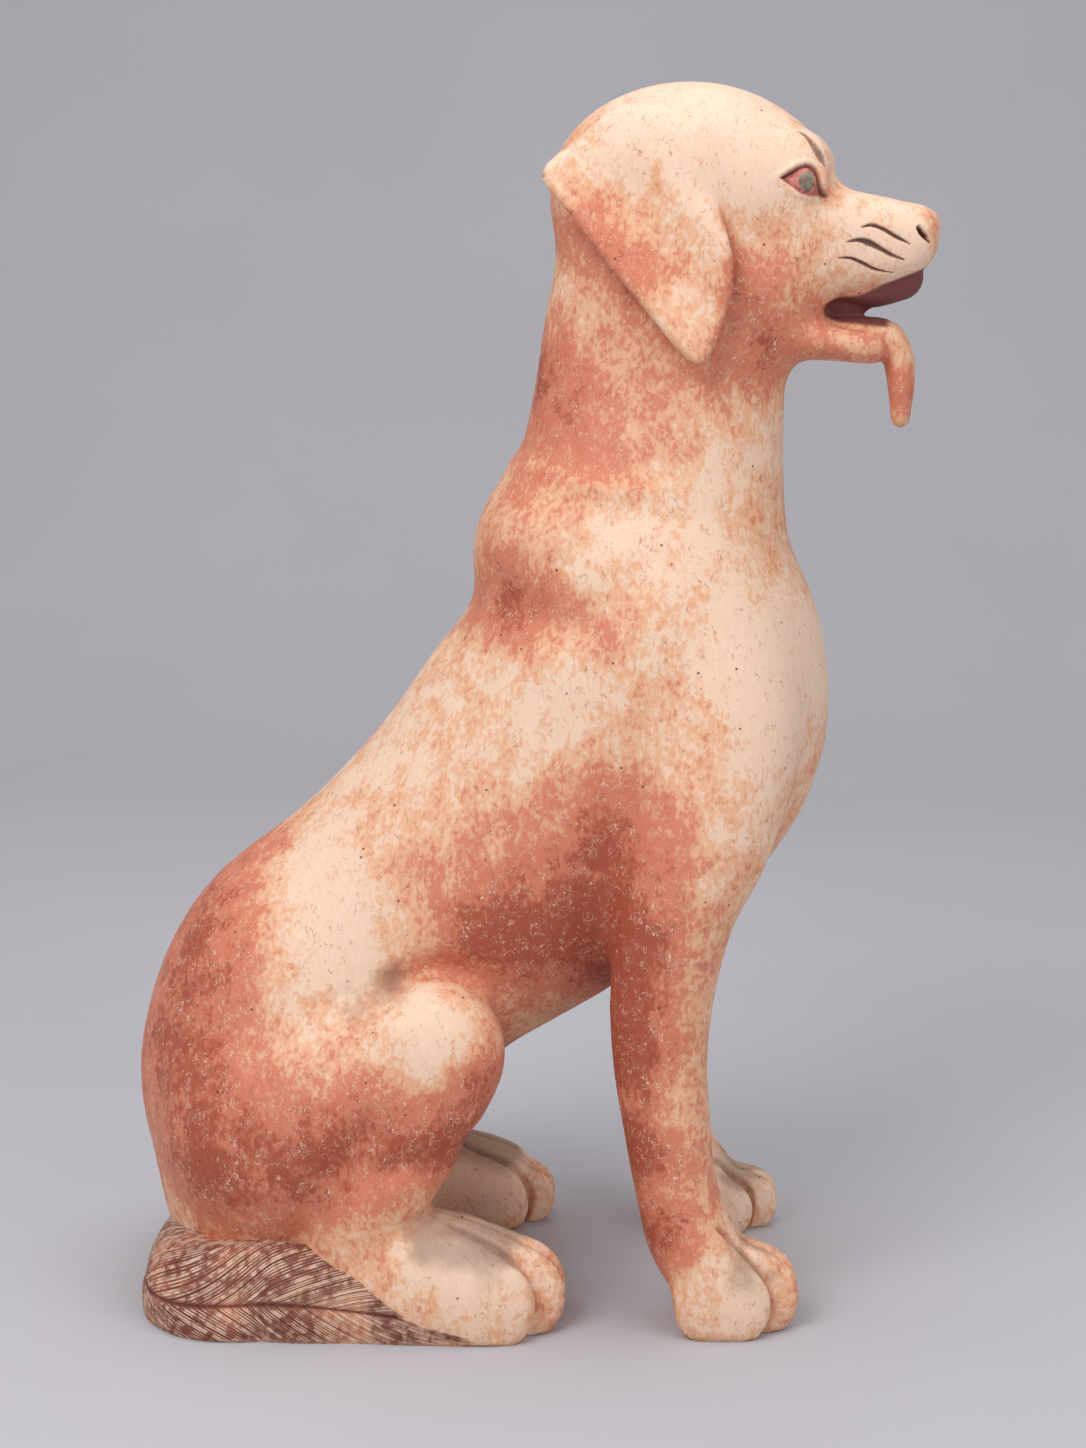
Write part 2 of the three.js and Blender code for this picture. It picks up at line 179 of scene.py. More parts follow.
def shank(side):
    return limb([
        (-60, side * 92, 158, 38, 29), (-70, side * 92, 124, 34, 29),
        (-90, side * 90, 84, 31, 28), (-104, side * 84, 46, 30, 26),
    ])


def hind_foot(side):
    y = side * HIND_LEG_Y
    high = 0.7 if side == LEFT else 1
    return limb([
        (-106, 0.88 * y, 18, 44 * high, 28), (-76, 0.97 * y, 24, 50 * high, 31),
        (-50, y, 24, 44 * high, 34), (-34, y, 22, 38 * high, 33),
    ])


# Soft folds are pressed into each flank: down the shoulder, under the withers, over the knee, down the shank.
FOLDS = [
    (17, 6, [(92, 425), (73, 367), (57, 322), (46, 282), (38, 240), (36, 190)]),
    (12, 5, [(-52, 440), (-22, 418), (12, 405), (34, 416), (70, 450)]),
    (10, 8, [(-116, 146), (-96, 181), (-76, 202), (-54, 211), (-32, 205), (-10, 186)]),
    (9, 5, [(-86, 142), (-100, 116), (-120, 90), (-140, 60)]),
    (8, 5, [(-26, 122), (-52, 110), (-80, 102), (-118, 84)]),
]


def nearest_on(line, p):
    """How far each point is from a polyline, and how far along the line the nearest place is, from 0 to 1."""
    start, run = line[:-1, None], (line[1:] - line[:-1])[:, None]
    t = np.clip(((p - start) * run).sum(2) / np.maximum((run * run).sum(2), 1e-9), 0, 1)
    away = np.linalg.norm(p - start - t[..., None] * run, axis=2)
    which = away.argmin(0)
    each = np.arange(len(p))
    return away[which, each], (which + t[which, each]) / len(run)


def folded(p):
    outward = np.clip((np.abs(p[:, 1]) - 40) / 30, 0, 1)
    deep = np.zeros(len(p))
    for width, depth, route in FOLDS:
        line = through(route, 20)
        near = (p[:, ::2] > line.min(0) - 3 * width).all(1) & (p[:, ::2] < line.max(0) + 3 * width).all(1)
        near = np.flatnonzero(near & (outward > 0))
        if len(near):
            away, along = nearest_on(line, p[near][:, ::2])
            deep[near] += depth * np.sin(np.pi * along) * np.exp(-((away / width) ** 2))
    return deep * outward


body = carved(
    (trunk, 1), (withers, 24), (neck_ring, 7),
    *[(front_leg(side), 22) for side in BOTH],
    *[(thigh(side), 9) for side in BOTH],
    *[(shank(side), 6) for side in BOTH],
)


# The paws. Each foot ends in four toes, carved as rounded wedges side by side, with the outer ones shorter.

PAWS = [
    (96, RIGHT * FRONT_LEG_Y, 26, 54, 14),
    (92, LEFT * FRONT_LEG_Y, 34, 38, 14),
    (-50, RIGHT * HIND_LEG_Y, 37, 57, 16),
    (-56, LEFT * HIND_LEG_Y, 42, 37, 16),
]


def toes(x, y, reach, height, pitch):
    made = []
    for place in (-1.5, -0.5, 0.5, 1.5):
        tip, out = reach - 8 * place * place, pitch * place
        made.append(limb([
            (x, y + 0.8 * out, 0.7 * height, 0.4 * height, 0.58 * pitch),
            (x + 0.55 * tip, y + 0.95 * out, 0.54 * height, 0.48 * height, 0.62 * pitch),
            (x + tip, y + out, 0.4 * height, 0.55 * height, 0.62 * pitch),
        ]))
    return made


paws = [toe for paw in PAWS for toe in toes(*paw)]


# The head, turned a little to the dog's right. It has a round skull, heavy brows, a blunt muzzle and an open
# mouth, with the palate and the tongue that hangs over the front of the jaw all cut from the same wood.

HEAD_TURN = np.radians(6)
NECK_AXIS_X = 70
HEAD_FOOT = 470

skull = lump((82, 0, HEIGHT - 60), (78, 62, 60))
forehead = lump((120, 0, 636), (44, 46, 40), -18)
brows = [lump((146, side * 24, 658), (17, 14, 14), -35) for side in BOTH]
cheeks = lump((112, 0, 590), (54, 54, 44), 10)
muzzle = limb([(132, 0, 611, 36, 42), (160, 0, 612, 31, 35), (184, 0, 612, 27.5, 29), (201, 0, 613, 21, 25)], power=2.7)
nose = lump((211, 0, 622), (12, 16, 9.5), -8)
lower_jaw = limb([(112, 0, 568, 30, 44), (146, 0, 561, 15, 34), (170, 0, 557, 12, 29), (186, 0, 555, 11, 24)], power=2.5)
mouth = limb([(163, 0, 575, 4.5, 60), (180, 0, 575, 8, 60), (198, 0, 578, 13, 60), (232, 0, 583, 19, 60)])
palate = limb([(160, 5, 590, 8, 24), (182, 5, 588, 13, 20), (200, 4, 593, 14, 15)])
throat = lump((160, 3, 577), (24, 10, 10))
gutters = [lump((177, side * 17, 571), (17, 8.5, 7)) for side in BOTH]
tongue = limb([
    (150, 0, 562, 6, 18), (178, 0, 564, 7, 17), (195, 0, 560, 8.5, 15),
    (201, 0, 548, 9, 13), (203, 0, 530, 7.5, 11), (203, 0, 514, 5.5, 7),
])
eyes = [lump((146, side * 34, 646), (14, 9.5, 11), -14) for side in BOTH]


# The ears are long leaves that grow out of the crown without a step, ridged down the front and curled out along
# the lower edge, where the thin rim stands clear of the neck.

EAR_LEAF = [(8, 650), (24, 627), (60, 583), (96, 547), (107, 568), (113, 598), (103, 634), (88, 670), (50, 684), (30, 670)]
EAR_EDGE, EAR_BELLY = 3, 7
ear_rim = through(EAR_LEAF, 40, closed=True)


def ear(side):
    def form(p):
        x, y, z = p[:, 0], side * p[:, 1], p[:, 2]
        off = np.abs(y - 64) - 24
        near = np.flatnonzero(off <= FAR)
        value = off.copy()
        if not len(near):
            return value
        x, y, z = x[near], y[near], z[near]
        away, _ = nearest_on(ear_rim, np.stack([x, z], 1))
        a, b = ear_rim[:-1, :, None], ear_rim[1:, :, None]
        run = np.where(np.abs(b[:, 1] - a[:, 1]) < 1e-9, 1e-9, b[:, 1] - a[:, 1])
        crosses = ((b[:, 1] > z) != (a[:, 1] > z)) & (x < a[:, 0] + (z - a[:, 1]) / run * (b[:, 0] - a[:, 0]))
        rim = np.where(crosses.sum(0) % 2 == 1, -away, away)
        drop = np.clip((680 - z) / 130, 0, 1)
        back = np.clip((80 - x) / 70, 0, 1)
        inward = 0.752 * (x - 5) + 0.664 * (z - 650)
        low = np.clip((672 - z) / 40, 0, 1)
        curl = 5 * np.clip(1 - inward / 20, 0, 1) ** 1.6 - 3 * np.exp(-(((inward - 26) / 13) ** 2))
        ridge = 2.5 * np.exp(-(((inward - 52) / 9) ** 2))
        middle = 60 + 12 * drop - 11 * (1 - drop) ** 2 + 7 * back**2 + low * (curl + ridge)
        belly = (EAR_BELLY - EAR_EDGE) * np.clip(-rim / 22, 0, 1) ** 0.6
        u, v = rim + EAR_EDGE, np.abs(y - middle) - belly
        value[near] = np.minimum(np.maximum(u, v), 0) + np.hypot(np.maximum(u, 0), np.maximum(v, 0)) - EAR_EDGE
        return value

    return form


def crown_blend(p):
    return 4 + 20 * np.clip((p[:, 2] - 636) / 36, 0, 1)


head = carved(
    (skull, 1), (forehead, 14), *[(brow, 10) for brow in brows], (cheeks, 16), (muzzle, 12), (nose, 5),
    (lower_jaw, 12), (mouth, 3, "cut"), (palate, 2), (throat, 3), *[(gutter, 2, "cut") for gutter in gutters],
    (tongue, 3), *[(eye, 5) for eye in eyes], *[(ear(side), crown_blend) for side in BOTH],
)


def to_head(p):
    """From the dog's frame to the head's own frame, where the muzzle points along +X."""
    c, s = np.cos(HEAD_TURN), np.sin(HEAD_TURN)
    dx, y = p[:, 0] - NECK_AXIS_X, p[:, 1]
    return np.stack([NECK_AXIS_X + dx * c - y * s, dx * s + y * c, p[:, 2]], 1)


def from_head(p):
    c, s = np.cos(HEAD_TURN), np.sin(HEAD_TURN)
    dx, y = p[:, 0] - NECK_AXIS_X, p[:, 1]
    return np.stack([NECK_AXIS_X + dx * c + y * s, y * c - dx * s, p[:, 2]], 1)


def turned_head(p):
    value = np.full(len(p), float(FAR))
    high = p[:, 2] >= HEAD_FOOT
    if high.any():
        value[high] = head(to_head(p[high]))
    return value


whole = carved(
    (lambda p: body(p) + folded(p), 1),
    *[(hind_foot(side), 5) for side in BOTH],
    *[(toe, 4) for toe in paws],
    (turned_head, 18),
)


def wood(p):
    """The dog without its tail, sawn off flat at the floor."""
    return np.maximum(whole(p), -p[:, 2])


# The worked surface of the wood. The field is found on a lattice, covered with facets, and cut finer along every
# line that the carver drew, down to about half a millimetre in the eyes.

CELL = 4.6
BLOCK = 4
SEAT = 0.6
AXES = np.eye(3)


def settle(field, p, times=2, step=0.25):
    """Slides points along the slope of the field onto the surface, and gives the slopes there."""
    for _ in range(times):
        here = field(p)
        slope = np.stack([(field(p + step * axis) - here) / step for axis in AXES], 1)
        steep = np.maximum(np.linalg.norm(slope, axis=1), 1e-6)
        slide = np.where(steep > 0.3, np.clip(here / steep, -CELL / 2, CELL / 2), 0)
        slope = slope / steep[:, None]
        p = p - slide[:, None] * slope
    p[p[:, 2] < SEAT, 2] = 0
    return p, slope


def skin(field, low, high):
    low = np.array(low, float)
    counts = np.ceil((np.array(high) - low) / CELL / BLOCK).astype(int) * BLOCK
    blocks = np.indices(counts // BLOCK).reshape(3, -1).T
    rough = field(low + (blocks * BLOCK + (BLOCK - 1) / 2) * CELL)
    values = rough.reshape(counts // BLOCK)
    for axis in range(3):
        values = values.repeat(BLOCK, axis)
    inner = np.indices((BLOCK,) * 3).reshape(3, -1).T
    spots = (blocks[np.abs(rough) < 1.6 * BLOCK * CELL][:, None] * BLOCK + inner).reshape(-1, 3)
    values[tuple(spots.T)] = field(low + spots * CELL)

    inside = values < 0
    corners = np.indices((2, 2, 2)).reshape(3, -1).T
    span = counts - 1
    number = sum(inside[i:i + span[0], j:j + span[1], k:k + span[2]].astype(np.int8) for i, j, k in corners)
    active = (number > 0) & (number < 8)
    cells = np.argwhere(active)
    total, hits = np.zeros((len(cells), 3)), np.zeros(len(cells))
    for corner in corners:
        for axis in np.flatnonzero(corner == 0):
            a, b = (values[tuple((cells + c).T)] for c in (corner, corner + AXES[axis].astype(int)))
            cross = (a < 0) != (b < 0)
            part = np.where(cross, a / np.where(cross, a - b, 1), 0)
            total += cross[:, None] * (corner + part[:, None] * AXES[axis])
            hits += cross
    points = low + (cells + total / hits[:, None]) * CELL
    index = np.full(active.shape, -1)
    index[active] = np.arange(len(cells))

    steps = AXES.astype(int)
    core = inside[1:-1, 1:-1, 1:-1]
    quads = []
    for n in range(3):
        ahead = inside[tuple(slice(1 + steps[n][m], inside.shape[m] - 1 + steps[n][m]) for m in range(3))]
        edges = np.argwhere(core != ahead) + 1
        ring = [edges - p * steps[(n + 1) % 3] - q * steps[(n + 2) % 3] for p, q in ((0, 0), (1, 0), (1, 1), (0, 1))]
        quad = np.stack([index[tuple(r.T)] for r in ring], 1)
        outside = ~inside[tuple(edges.T)]
        quad[outside] = quad[outside][:, ::-1]
        quads.append(quad)
    quads = np.vstack(quads)
    points, _ = settle(field, points)
    a, b, c, d = (points[quads[:, m]] for m in range(4))
    short = np.linalg.norm(a - c, axis=1) <= np.linalg.norm(b - d, axis=1)
    p, q = quads[short], quads[~short]
    return points, np.vstack([p[:, [0, 1, 2]], p[:, [0, 2, 3]], q[:, [0, 1, 3]], q[:, [1, 2, 3]]])


def refine(field, points, faces, reach):
    """Halves every edge that is longer than its reach, and splits the facets round it to match."""
    sides = np.sort(faces[:, [0, 1, 1, 2, 2, 0]].reshape(-1, 2), axis=1)
    edges, of_face = np.unique(sides, axis=0, return_inverse=True)
    of_face = of_face.reshape(-1, 3)
    ends = points[edges]
    long = np.linalg.norm(ends[:, 0] - ends[:, 1], axis=1) > reach(ends.mean(1))
    new = np.full(len(edges), -1)
    new[long] = len(points) + np.arange(long.sum())
    points = np.vstack([points, settle(field, ends[long].mean(1))[0]])
    middles = new[of_face]
    marked = middles >= 0
    count = marked.sum(1)
    out = [faces[count == 0]]
    for a in range(3):
        b, c = (a + 1) % 3, (a + 2) % 3
        one = (count == 1) & marked[:, a]
        f, m = faces[one], middles[one]
        out += [np.stack([f[:, a], m[:, a], f[:, c]], 1), np.stack([m[:, a], f[:, b], f[:, c]], 1)]
        two = (count == 2) & ~marked[:, a]
        f, m = faces[two], middles[two]
        out += [np.stack([m[:, b], f[:, c], m[:, c]], 1), np.stack([f[:, a], f[:, b], m[:, b]], 1)]
        out += [np.stack([f[:, a], m[:, b], m[:, c]], 1)]
    three = count == 3
    f, m = faces[three], middles[three]
    out += [np.stack([f[:, 0], m[:, 0], m[:, 2]], 1), np.stack([m[:, 0], f[:, 1], m[:, 1]], 1)]
    out += [np.stack([m[:, 2], m[:, 1], f[:, 2]], 1), m]
    return points, np.vstack(out)


def relax(points, faces, share=0.5):
    """Evens out the facets by moving each corner towards the middle of its neighbours."""
    a, b = faces[:, [0, 1, 2, 1, 2, 0]].T.reshape(6, -1), faces[:, [1, 2, 0, 0, 1, 2]].T.reshape(6, -1)
    number = np.bincount(a.ravel(), minlength=len(points))
    mean = np.stack([np.bincount(a.ravel(), points[b.ravel(), n], len(points)) for n in range(3)], 1)
    seated = points[:, 2] == 0
    moved = points + share * (mean / number[:, None] - points)
    moved[seated] = points[seated]
    return moved


# The drawn lines: slashes of the whiskers, brow hollows, nostrils and the grooves between the toes. Each is laid
# on the wood as a line with a half width and a depth at every point, and then cut as a V or a round gouge.

def from_side(route, side):
    """Lays a route of x, z in the head's own frame on the wood, dropped from that side."""
    route = np.array(route, float)
    out = np.arange(80, -1, -1.0)
    laid = []
    for x, z in route:
        value = head(np.stack([np.full(len(out), x), side * out, np.full(len(out), z)], 1))
        hit = np.flatnonzero(value < 0)
        laid.append((x, side * (out[hit[0]] if len(hit) else 0), z))
    return settle(wood, from_head(np.array(laid)))[0]


WHISKERS = [
    ([(180, 620.4), (185, 621.5), (191, 619.6), (198.4, 615.5), (206, 611.5)], [0.5, 1.3, 1.4, 1.5, 0.5]),
    ([(172, 612.5), (178.8, 613.4), (184, 612), (190.3, 608.8), (196.4, 605.4), (203, 603)], [0.4, 1.7, 2.6, 1.7, 1.4, 0.7]),
    ([(168, 603.9), (174.5, 603.5), (180.6, 600.9), (187.5, 597.5), (197.8, 595.6)], [0.4, 1.1, 1.4, 1.2, 0.4]),
]
BROW = ([(143.6, 672.4), (148.7, 669.2), (152.9, 664.7), (155.9, 660.2), (157.6, 656.8), (159.3, 653.6)],
        [0.4, 1.5, 2.3, 2.7, 2.6, 1.0])
NOSTRIL = ([(211, 620), (212.6, 617.8), (215, 614.5), (217, 612.4)], [1.6, 2.0, 1.8, 0.8])

lines = []  # (line, half widths, depth, V or round, finest facet, how dark)
for side in BOTH:
    for route, widths in WHISKERS:
        lines.append((from_side(route, side), widths, 2.4, "v", 0.7, 1.0))
    lines.append((from_side(BROW[0], side), BROW[1], 1.8, "round", 0.7, 0.75))
    lines.append((from_side(NOSTRIL[0], side), NOSTRIL[1], 4.0, "round", 0.7, 1.2))
for x, y, reach, height, pitch in PAWS:
    for place in (-1, 0, 1):
        out, tip = pitch * place, reach + pitch / 2 - 6 * abs(place)
        route = np.array([
            (x - 14, y + 0.5 * out, 1.3 * height), (x + 0.3 * reach, y + 0.85 * out, 1.08 * height),
            (x + 0.75 * reach, y + out, 0.92 * height), (x + tip, y + out, 0.6 * height),
            (x + tip, y + out, 0.3 * height), (x + tip - 2, y + out, 1),
        ])
        lines.append((settle(wood, route, times=8)[0], [1.5, 3, 3.6, 3.6, 3, 2], 4.5, "v", 1.3, 0.3))
lines = [(through(line, 24), np.interp(np.linspace(0, 1, 25), np.linspace(0, 1, len(widths)), widths), *rest)
         for line, widths, *rest in lines]

# The eyes: an almond under a heavy upper lid, a tear hollow at the front, and the iris as a raised disc.
ALMOND = [
    (135.4, 646.8), (140.6, 650.5), (145, 653.3), (149.4, 654.8), (152.6, 654.2), (155.4, 652), (157.2, 648.6),
    (158, 644.6), (158.6, 641.4), (160.4, 638.6), (162.8, 635.6), (156.1, 636.6), (151.6, 636.6), (147, 638.2), (141.2, 642.4),
]
IRIS = np.array([150.3, 645.3])
almond = np.array(ALMOND + ALMOND[:1])


def in_almond(q):
    """How far a place in the head's side view is outside the almond of the eye, negative inside."""
    away, along = nearest_on(almond, q)
    a, b = almond[:-1, :, None], almond[1:, :, None]
    x, z = q.T
    crosses = ((b[:, 1] > z) != (a[:, 1] > z)) & (x < a[:, 0] + (z - a[:, 1]) / (b[:, 1] - a[:, 1]) * (b[:, 0] - a[:, 0]))
    return np.where(crosses.sum(0) % 2 == 1, -away, away), along


def smooth(low, high, value):
    t = np.clip((value - low) / (high - low), 0, 1)
    return t * t * (3 - 2 * t)


def near_line(p, line, room):
    return np.flatnonzero((p > line.min(0) - room).all(1) & (p < line.max(0) + room).all(1))


eye_spots = [from_side([IRIS], side)[0] for side in BOTH]


def reach(p):
    """How long an edge may be at a place: short along the drawn lines, in the eyes and round the mouth."""
    longest = np.full(len(p), 1.9 * CELL)
    for line, widths, depth, kind, finest, dark in lines:
        near = near_line(p, line, 14)
        if len(near):
            away, _ = nearest_on(line, p[near])
            longest[near] = np.minimum(longest[near], finest * 1.6 + 0.45 * np.maximum(away - widths.max() - 0.6, 0))
    for spot in eye_spots:
        away = np.linalg.norm(p - spot, axis=1)
        longest = np.minimum(longest, 0.9 + 0.5 * np.maximum(away - 14, 0))
    at_mouth = np.linalg.norm((p - np.array([192, -16, 572])) / (1.1, 1.2, 1), axis=1)
    longest = np.minimum(longest, 2.0 + 0.4 * np.maximum(at_mouth - 34, 0))
    at_crown = np.abs(to_head(p)[:, 1])
    ears = (p[:, 2] > 540) & (at_crown > 48) & (p[:, 0] < 125)
    longest[ears] = np.minimum(longest[ears], 5.2)
    return longest


points, faces = skin(wood, (-255, -140, -12), (240, 140, HEIGHT + 14))
passes = 4
for _ in range(passes):
    points, faces = refine(wood, points, faces, reach)
points = relax(points, faces)
points, slopes = settle(wood, points, times=1)
points = relax(points, faces, 0.3)
points, slopes = settle(wood, points, times=1)

sunk = np.zeros(len(points))  # how deep the drawn lines go, in mm
cut = np.zeros(len(points))  # how dark a place is painted: in the drawn cuts, and in the eyes a painted shadow under the upper lid and painted shade in the tear hollow
for line, widths, depth, kind, finest, dark in lines:
    near = near_line(points, line, widths.max() + 2)
    away, along = nearest_on(line, points[near])
    wide = np.interp(along, np.linspace(0, 1, len(widths)), widths)
    share = np.clip(1 - away / wide, 0, 1)
    share = share if kind == "v" else 1 - (1 - share) ** 3
    deep = depth * share * np.minimum(1, wide / widths.max() + 0.25)
    sunk[near] = np.maximum(sunk[near], deep)
    cut[near] = np.maximum(cut[near], dark * smooth(0.05, 0.5, share))

eye, iris = np.zeros(len(points)), np.zeros(len(points))
in_head = to_head(points)
for spot in eye_spots:
    near = np.flatnonzero(np.linalg.norm(points - spot, axis=1) < 26)
    rim, along = in_almond(in_head[near][:, ::2])
    upper = smooth(0.62, 0.5, along)
    from_iris = (in_head[near][:, ::2] - IRIS) / (4.4, 5.4)
    disc = np.linalg.norm(from_iris, axis=1)
    tear = np.exp(-(np.linalg.norm((in_head[near][:, ::2] - (160, 638.6)) / (2.6, 2.2), axis=1) ** 2))
    inside = smooth(0.2, -0.9, rim)
    dome = 1.9 * np.clip(1 - (disc / 2.1) ** 2, 0, 1)
    bowl = inside * (1.1 + 1.5 * upper + 1.2 * smooth(-2.2, -0.6, rim) * upper - dome + 1.6 * tear)
    disc_step = -0.45 * smooth(1.05, 0.9, disc) * inside
    lid = -1.0 * np.exp(-(((rim - 1.5) / 1.3) ** 2)) * (0.4 + 0.6 * upper)
    sunk[near] = np.maximum(sunk[near], 0) + bowl + disc_step + np.where(rim > -0.3, lid, 0)
    eye[near] = np.maximum(eye[near], inside)
    iris[near] = np.maximum(iris[near], smooth(1.06, 0.94, disc) * inside)
    # Painted shadow along the upper lid inside the eye, and painted shade in the tear hollow at its front.
    cut[near] = np.maximum(cut[near], inside * np.maximum(1.1 * upper * smooth(-2.0, -0.5, rim), 1.1 * tear))
points = points - sunk[:, None] * slopes
points[points[:, 2] < SEAT, 2] = 0


# The tail lies round the right haunch, thick as a rope, and is combed from a midrib: long hair above it and
# short locks below, all cut with a V-tool. Its facets follow the hairs, so that every cut is clean.

TAIL = [
    (-190, 50, 10, 24, 32), (-204, 6, 8, 27, 34), (-205, -46, 9, 28, 36), (-193, -87, 10, 29, 38),
    (-148, -94, 13, 27, 38), (-102, -97, 11, 24, 33), (-66, -103, 9, 19, 23), (-38, -110, 6, 13, 12),
]
HAIR = 2.2  # mm from one cut to the next along the midrib
SAMPLES = 4  # facets across a hair
HAIR_DEPTH = 0.85
LOCK = 44  # mm from one lock to the next below the midrib
RIB = 15  # degrees above the level at which the midrib runs

stations = np.array(TAIL, float)
tail = limb(TAIL, steps=5, across=(0, 0, 1))
spine, girth = through(stations[:, :3], 200), through(stations[:, 3:], 200)
along_spine = np.concatenate([[0], np.cumsum(np.linalg.norm(np.diff(spine, axis=0), axis=1))])
tail_length = along_spine[-1]


def on_tail(s, angle):
    """A place on the tail: mm along it, which may run past either rounded end, and degrees round it."""
    inner = np.clip(s, 0, tail_length)
    middle = np.stack([np.interp(inner, along_spine, spine[:, n]) for n in range(3)], -1)
    ahead = np.stack([np.interp(np.minimum(inner + 1, tail_length), along_spine, spine[:, n])
                      - np.interp(np.minimum(inner + 1, tail_length) - 1, along_spine, spine[:, n]) for n in range(3)], -1)
    ahead /= np.linalg.norm(ahead, axis=-1, keepdims=True)
    out = np.stack([ahead[..., 1], -ahead[..., 0], 0 * inner], -1)
    out /= np.linalg.norm(out, axis=-1, keepdims=True)
    deep, wide = (np.interp(inner, along_spine, girth[:, n]) for n in range(2))
    past = (s - inner) / np.minimum(deep, wide)
    shrink = np.sqrt(np.clip(1 - past**2, 0, 1))
    c, d = np.cos(np.radians(angle)) * shrink, np.sin(np.radians(angle)) * shrink
    up = np.array([0, 0, 1.0])
    return (middle + (past * np.minimum(deep, wide))[..., None] * ahead
            + out * (deep * c)[..., None] + up * (wide * d)[..., None])


rows = np.concatenate([np.linspace(-40, RIB - 4, 9), [RIB - 2, RIB, RIB + 2], np.linspace(RIB + 5, 110, 17), np.linspace(130, 300, 9)])
over = np.clip(rows - RIB, 0, 95) * 0.56  # mm up the hair side
under = np.clip(RIB - rows, 0, 55) * 0.6
hidden = np.clip((rows - 110) / 210, 0, 1)
overrun = 25
columns = np.arange(-120, tail_length + overrun, HAIR / SAMPLES * (1))
start = columns[:, None]
slant = 1.1 + 2.5 * smooth(0.40, 0.85, start / tail_length)
over_shift = slant * over * (1 - 0.15 * over / 53)
under_shift = (1.3 + 1.2 * smooth(0.5, 0.9, start / tail_length)) * under
shift = np.where(rows > 110, over_shift * (1 - hidden) + under_shift[:, :1] * hidden, over_shift + under_shift)
wave = 1.3 * np.sin(start / 17.0 + 0.08 * over) + 0.8 * np.sin(start / 6.3 + 0.19 * over + 1.0)
end_cap = float(girth[0].min()), float(girth[-1].min())
s = np.clip(start + shift + 0.4 * wave * np.minimum(1, (over + under) / 8), -end_cap[0], tail_length + end_cap[1])
angle = np.broadcast_to(rows, s.shape)
tail_points = on_tail(s, angle).reshape(-1, 3)
lift = 1.0
inside_tail = on_tail(np.clip(s, 0, tail_length), angle).reshape(-1, 3)
tail_slopes = settle(tail, tail_points, times=1)[1]
open_side = smooth(-30, -14, angle) * smooth(112, 96, angle)
strength = (open_side * smooth(-6, 10, s) * smooth(tail_length + 9, tail_length - 3, s)).ravel()
comb = np.broadcast_to(start / HAIR, s.shape).ravel()
tooth = np.abs((comb % 1) * 2 - 1)
lots = 0.75 + 0.5 * np.sin(np.floor(comb) * 12.9898) * np.sin(np.floor(comb) * 4.1414)
groove = (1 - tooth) * lots
rib_line = np.exp(-(((angle - RIB) / 2.2) ** 2)).ravel()
below = smooth(RIB, RIB - 14, angle)
lock = (below * (1.9 * np.abs(np.sin(np.pi * (start + 0.9 * under) / LOCK)) - 0.9)).ravel()
sink = strength * (HAIR_DEPTH * groove + 1.1 * rib_line - lock)
tail_points = tail_points - sink[:, None] * tail_slopes
tail_points[:, 2] = np.maximum(tail_points[:, 2], 0)

nc, nr = s.shape
grid = np.arange(nc * nr).reshape(nc, nr)
a, b = grid[:-1], grid[1:]
quad = np.stack([a, b, np.roll(b, -1, 1), np.roll(a, -1, 1)], -1).reshape(-1, 4)
tail_faces = np.vstack([quad[:, [0, 1, 2]], quad[:, [0, 2, 3]]])
across = tail_points[tail_faces]
size = np.linalg.norm(np.cross(across[:, 1] - across[:, 0], across[:, 2] - across[:, 0]), axis=1)
tail_faces = tail_faces[size > 1e-6]


# The whole dog is one piece of wood, so body and tail go into one mesh. With it go the marks of its finish: how much
# stain is left at a place, with painted light and shade in it, where dirt has gathered, with painted shade in the knee
# fold, what is a cut, with painted shadow in the eyes, and which hair a place on the tail is.

# The patches are the mottled red stain with painted light and shade laid in: the lighter ones on the crown, the muzzle,
# the chest front and the knee are painted light, and the darker ones under the ear, in the cheek hollow before it,
# under the withers, behind the front legs and low on the flank are painted shade.
PATCHES = [  # x, z, radius, more or less stain, painted light and painted shade, in the side view
    (-189, 217, 46, 0.5), (-205, 150, 40, 0.5), (-171, 274, 26, 0.25), (-120, 240, 40, -0.45),
    (-132, 190, 36, -0.15), (-134, 106, 44, 0.5), (-190, 90, 34, 0.45), (-85, 130, 30, 0.5), (-50, 110, 26, 0.55),
    (-32, 150, 20, 0.35), (-50, 185, 22, -0.5), (-75, 160, 24, -0.3), (-65, 252, 34, 0.15), (-103, 320, 40, -0.15),
    (-48, 337, 50, -0.1), (13, 366, 45, -0.2), (13, 240, 44, 0.65), (-30, 225, 26, 0.55), (40, 300, 34, 0.35),
    (50, 225, 26, 0.5), (56, 170, 22, 0.5), (63, 110, 20, 0.45), (75, 61, 16, 0.5), (63, 253, 20, 0.1),
    (-14, 410, 22, 0.6), (-2, 440, 26, 0.15), (35, 455, 40, -0.25), (28, 405, 20, 0.25), (61, 380, 22, 0.1),
    (100, 400, 40, -0.25), (140, 380, 40, -0.45), (126, 330, 36, -0.2), (11, 516, 34, 0.4), (-4, 545, 24, 0.3),
    (60, 520, 30, 0.05), (100, 540, 26, 0.15), (121, 500, 24, -0.25), (90, 470, 30, -0.25),
    (86, 690, 60, -0.4), (120, 650, 36, -0.25), (26, 618, 16, 0.35), (50, 600, 20, 0.35), (90, 575, 20, -0.15),
    (112, 590, 16, 0.35), (120, 560, 22, 0.35), (190, 610, 34, -0.35), (150, 560, 20, 0.1), (203, 530, 14, 0.3),
    (-30, 40, 40, -0.4), (120, 25, 34, -0.35), (-60, 50, 20, -0.2), (-150, 30, 60, 0.0),
]
